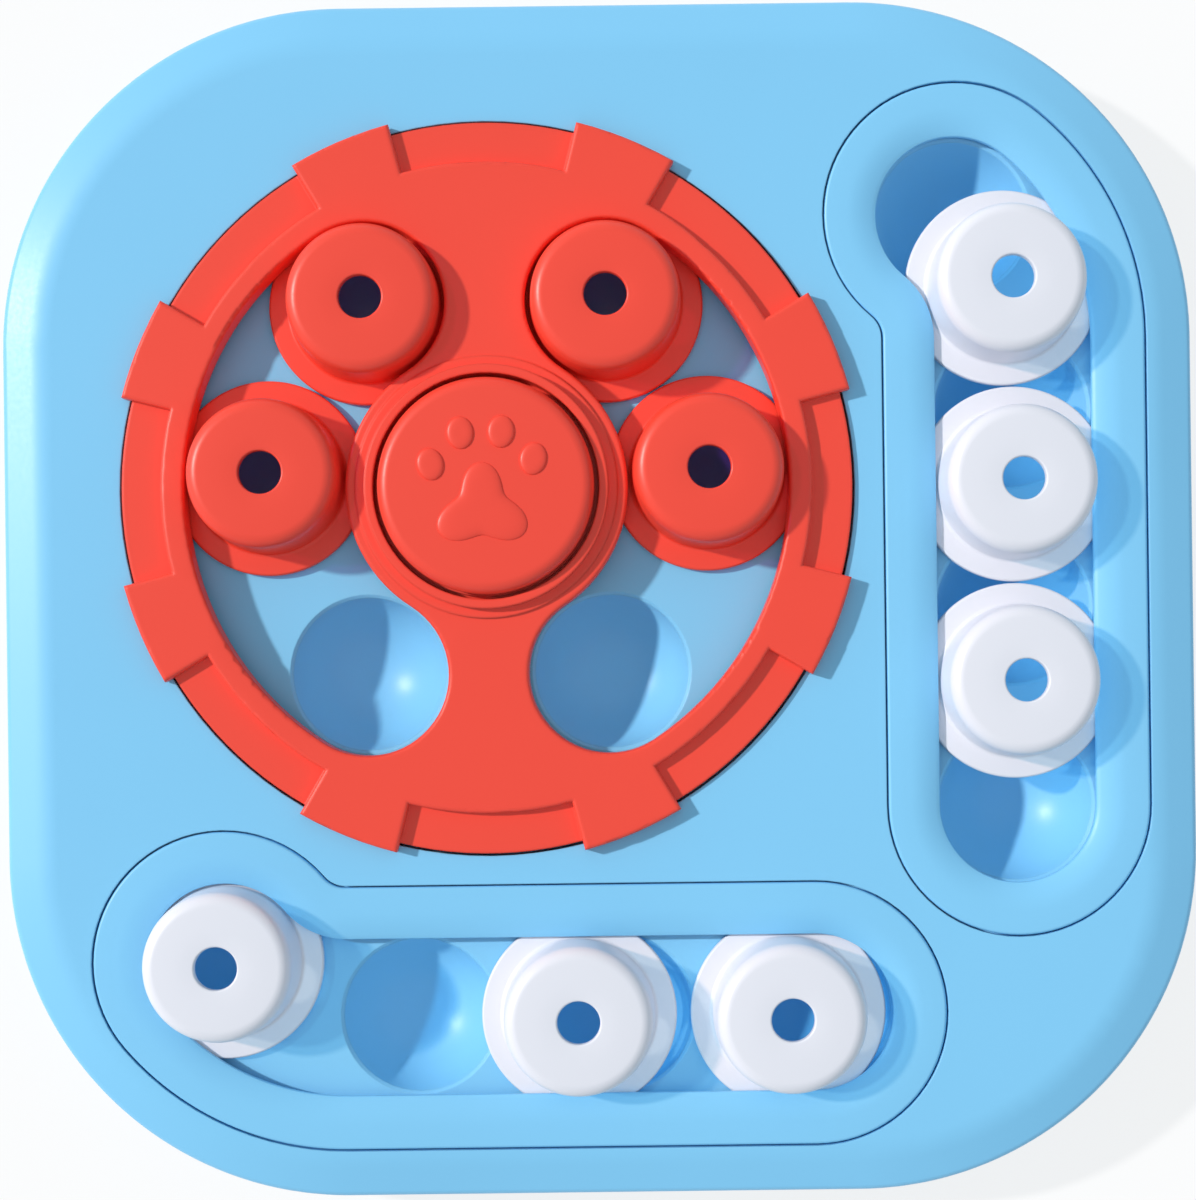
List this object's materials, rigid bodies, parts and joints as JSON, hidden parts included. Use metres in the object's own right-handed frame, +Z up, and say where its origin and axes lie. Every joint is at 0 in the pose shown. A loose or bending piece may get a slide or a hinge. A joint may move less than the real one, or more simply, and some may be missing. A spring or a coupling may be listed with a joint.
{
  "type": "dog puzzle feeder toy",
  "caption": "Square slow-feeder puzzle board: a turning wheel with captive pegs and two tracks of sliding knobs cover treat wells, with a press button at the hub.",
  "frame": {"origin": "on the ground under the middle of the board", "axes": "+Z up, +X to the right seen from the front, +Y away from the dog"},
  "size_m": [0.283, 0.283, 0.0382],
  "materials": {
    "board_plastic": "satin moulded polypropylene",
    "cover_plastic": "satin moulded polypropylene",
    "wheel_plastic": "satin moulded plastic",
    "button_plastic": "satin moulded plastic",
    "peg_plastic": "satin moulded plastic",
    "knob_plastic": "satin moulded plastic",
    "retainer_plastic": "plain moulded plastic",
    "reed_plastic": "plain moulded plastic",
    "bulb_rubber": "soft thin moulding",
    "foot_rubber": "soft non-slip rubber",
    "screw_steel": "plain zinc"
  },
  "bodies": {
    "board": {"base_board": "board_plastic", "track_cover_right": "cover_plastic", "track_cover_front": "cover_plastic", "cover_screws_right": "screw_steel", "cover_screws_front": "screw_steel", "hub_retainer": "retainer_plastic", "hub_screws": "screw_steel", "squeaker_bulb": "bulb_rubber", "squeaker_reed": "reed_plastic", "foot_back_left": "foot_rubber", "foot_back_right": "foot_rubber", "foot_front_left": "foot_rubber", "foot_front_right": "foot_rubber"},
    "wheel": {"steering_wheel": "wheel_plastic"},
    "button": {"horn_button": "button_plastic"},
    "knob_right_1": {"knob_right_1": "knob_plastic"},
    "knob_right_2": {"knob_right_2": "knob_plastic"},
    "knob_right_3": {"knob_right_3": "knob_plastic"},
    "knob_front_1": {"knob_front_1": "knob_plastic"},
    "knob_front_2": {"knob_front_2": "knob_plastic"},
    "knob_front_3": {"knob_front_3": "knob_plastic"},
    "peg_left_upper": {"peg_left_upper": "peg_plastic"},
    "peg_left_lower": {"peg_left_lower": "peg_plastic"},
    "peg_right_upper": {"peg_right_upper": "peg_plastic"},
    "peg_right_lower": {"peg_right_lower": "peg_plastic"}
  },
  "joints": [
    {"name": "wheel_spin", "type": "hinge", "parent": "board", "child": "wheel", "pos_m": [-0.0262, 0.0262, 0.026], "axis": [0, 0, 1], "continuous": true},
    {"name": "horn_press", "type": "slide", "parent": "board", "child": "button", "axis": [0, 0, -1], "range_m": [0, 0.0026], "stiffness_N_per_m": 400, "deforming": ["squeaker_bulb"]},
    {"name": "peg_left_lower_turn", "type": "hinge", "parent": "wheel", "child": "peg_left_lower", "pos_m": [-0.0262, 0.0262, 0.026], "axis": [0, 0, 1], "range_deg": [0, 60.73]},
    {"name": "peg_left_upper_turn", "type": "hinge", "parent": "wheel", "child": "peg_left_upper", "pos_m": [-0.0262, 0.0262, 0.026], "axis": [0, 0, 1], "range_deg": [0, 60.73]},
    {"name": "peg_right_lower_turn", "type": "hinge", "parent": "wheel", "child": "peg_right_lower", "pos_m": [-0.0262, 0.0262, 0.026], "axis": [0, 0, -1], "range_deg": [0, 60.73]},
    {"name": "peg_right_upper_turn", "type": "hinge", "parent": "wheel", "child": "peg_right_upper", "pos_m": [-0.0262, 0.0262, 0.026], "axis": [0, 0, -1], "range_deg": [0, 60.73]},
    {"name": "knob_right_1_turn", "type": "hinge", "parent": "board", "child": "knob_right_1", "pos_m": [0.0608, 0.0608, 0.026], "axis": [0, 0, 1], "range_deg": [0, 31.5]},
    {"name": "knob_right_2_slide", "type": "slide", "parent": "board", "child": "knob_right_2", "axis": [0, -1, 0], "range_m": [0, 0.0293]},
    {"name": "knob_right_3_slide", "type": "slide", "parent": "board", "child": "knob_right_3", "axis": [0, -1, 0], "range_m": [0, 0.0293]},
    {"name": "knob_front_1_turn", "type": "hinge", "parent": "board", "child": "knob_front_1", "pos_m": [-0.0608, -0.0608, 0.026], "axis": [0, 0, 1], "range_deg": [0, 50]},
    {"name": "knob_front_2_slide", "type": "slide", "parent": "board", "child": "knob_front_2", "axis": [1, 0, 0], "range_m": [-0.03902, 0.0029]},
    {"name": "knob_front_3_slide", "type": "slide", "parent": "board", "child": "knob_front_3", "axis": [1, 0, 0], "range_m": [-0.0029, 0.0063]}
  ],
  "couplings": [
    {"joint": "peg_left_upper_turn", "follows": "peg_left_lower_turn", "ratio": 1},
    {"joint": "peg_right_upper_turn", "follows": "peg_right_lower_turn", "ratio": 1},
    {"joint": "knob_right_2_slide", "follows": "knob_right_3_slide", "ratio": 1}
  ]
}
